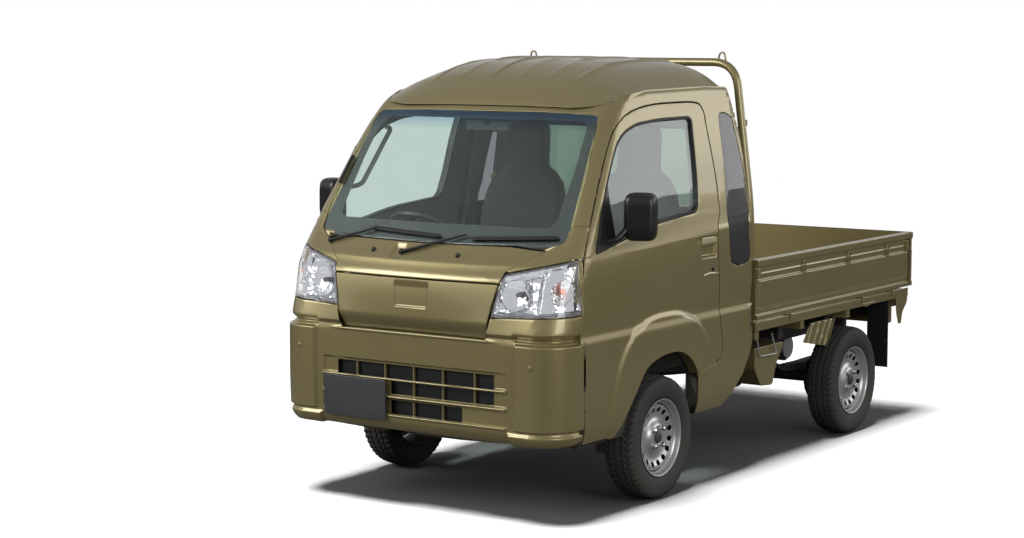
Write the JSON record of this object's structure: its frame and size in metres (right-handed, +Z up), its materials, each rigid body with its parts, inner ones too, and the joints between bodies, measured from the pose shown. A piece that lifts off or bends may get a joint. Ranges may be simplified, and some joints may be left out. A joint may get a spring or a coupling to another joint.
{
  "type": "kei truck",
  "caption": "Cab-over kei truck with a high-roof two-seat cab, opening doors, drop-side cargo bed, tailgate and tube guard frame; steers and rolls.",
  "frame": {"origin": "on the ground under the middle of the truck's bounding box", "axes": "-Y is the front, +X is the truck's left side, +Z is up"},
  "size_m": [1.756, 3.395, 1.9163],
  "materials": {
    "body_paint": "metallic khaki, semi gloss",
    "bed_paint": "metallic khaki, semi gloss",
    "black_paint": "satin black",
    "underbody": "matt black",
    "glass": "light green tint",
    "lamp_lens": "clear lens over chrome",
    "rear_lens": "red lens",
    "wheel_steel": "silver paint",
    "tyre": "black rubber",
    "rubber": "black rubber",
    "black_plastic": "grained black",
    "grey_plastic": "grained dark grey",
    "seat_fabric": "dark woven cloth and vinyl",
    "engine_metal": "cast",
    "exhaust": "dull steel"
  },
  "bodies": {
    "truck": {"aerial": "black_plastic", "battery_box": "underbody", "bed_floor": "bed_paint", "cab_body": "body_paint", "chassis_frame": "underbody", "cowl_panel": "body_paint", "dashboard": "grey_plastic", "engine": "engine_metal", "front_bumper": "body_paint", "front_crossmember": "underbody", "front_lid": "body_paint", "fuel_tank": "underbody", "guard_frame": "black_paint", "headlamp_left": "lamp_lens", "headlamp_right": "lamp_lens", "mud_flap_left": "rubber", "mud_flap_right": "rubber", "muffler": "exhaust", "propshaft": "underbody", "quarter_glass_left": "glass", "quarter_glass_right": "glass", "rear_axle": "underbody", "rear_glass": "glass", "rear_lamp_bar": "rear_lens", "roof_panel": "body_paint", "seat_left": "seat_fabric", "seat_right": "seat_fabric", "windshield": "glass", "wiper_left": "black_plastic", "wiper_right": "black_plastic"},
    "door_left_body": {"door_left": "body_paint", "door_glass_left": "glass", "mirror_left": "black_plastic"},
    "door_right_body": {"door_right": "body_paint", "door_glass_right": "glass", "mirror_right": "black_plastic"},
    "gate_left_body": {"side_gate_left": "bed_paint"},
    "gate_right_body": {"side_gate_right": "bed_paint"},
    "tailgate_body": {"tailgate": "bed_paint"},
    "knuckle_left_body": {"knuckle_left": "underbody"},
    "knuckle_right_body": {"knuckle_right": "underbody"},
    "steering_wheel_body": {"steering_wheel": "grey_plastic"},
    "wheel_front_left": {"tyre_front_left": "tyre", "rim_front_left": "wheel_steel"},
    "wheel_front_right": {"tyre_front_right": "tyre", "rim_front_right": "wheel_steel"},
    "wheel_rear_left": {"tyre_rear_left": "tyre", "rim_rear_left": "wheel_steel"},
    "wheel_rear_right": {"tyre_rear_right": "tyre", "rim_rear_right": "wheel_steel"}
  },
  "joints": [
    {"name": "door_left_hinge", "type": "hinge", "parent": "truck", "child": "door_left_body", "pos_m": [0.7345, -1.486, 0.8], "axis": [0, 0, -1], "range_deg": [0, 65]},
    {"name": "door_right_hinge", "type": "hinge", "parent": "truck", "child": "door_right_body", "pos_m": [-0.7345, -1.486, 0.8], "axis": [0, 0, 1], "range_deg": [0, 65]},
    {"name": "side_gate_left_hinge", "type": "hinge", "parent": "truck", "child": "gate_left_body", "pos_m": [0.7375, 0.8, 0.68], "axis": [0, 1, 0], "range_deg": [0, 180]},
    {"name": "side_gate_right_hinge", "type": "hinge", "parent": "truck", "child": "gate_right_body", "pos_m": [-0.7375, 0.8, 0.68], "axis": [0, -1, 0], "range_deg": [0, 180]},
    {"name": "tailgate_hinge", "type": "hinge", "parent": "truck", "child": "tailgate_body", "pos_m": [0, 1.692, 0.68], "axis": [-1, 0, 0], "range_deg": [0, 180]},
    {"name": "steer_left", "type": "hinge", "parent": "truck", "child": "knuckle_left_body", "pos_m": [0.56, -0.85, 0.2685], "axis": [0, 0, 1], "range_deg": [-35, 35]},
    {"name": "steer_right", "type": "hinge", "parent": "truck", "child": "knuckle_right_body", "pos_m": [-0.56, -0.85, 0.2685], "axis": [0, 0, 1], "range_deg": [-35, 35]},
    {"name": "steering_wheel_turn", "type": "hinge", "parent": "truck", "child": "steering_wheel_body", "pos_m": [-0.3, -1.15, 1.105], "axis": [0, 0.6157, 0.788], "range_deg": [-560, 560]},
    {"name": "wheel_front_left_spin", "type": "hinge", "parent": "knuckle_left_body", "child": "wheel_front_left", "pos_m": [0.6525, -0.85, 0.2685], "axis": [-1, 0, 0], "continuous": true},
    {"name": "wheel_front_right_spin", "type": "hinge", "parent": "knuckle_right_body", "child": "wheel_front_right", "pos_m": [-0.6525, -0.85, 0.2685], "axis": [-1, 0, 0], "continuous": true},
    {"name": "wheel_rear_left_spin", "type": "hinge", "parent": "truck", "child": "wheel_rear_left", "pos_m": [0.65, 1.05, 0.2685], "axis": [-1, 0, 0], "continuous": true},
    {"name": "wheel_rear_right_spin", "type": "hinge", "parent": "truck", "child": "wheel_rear_right", "pos_m": [-0.65, 1.05, 0.2685], "axis": [-1, 0, 0], "continuous": true}
  ],
  "couplings": [
    {"joint": "steer_right", "follows": "steer_left", "ratio": 1},
    {"joint": "steering_wheel_turn", "follows": "steer_left", "ratio": 16}
  ]
}
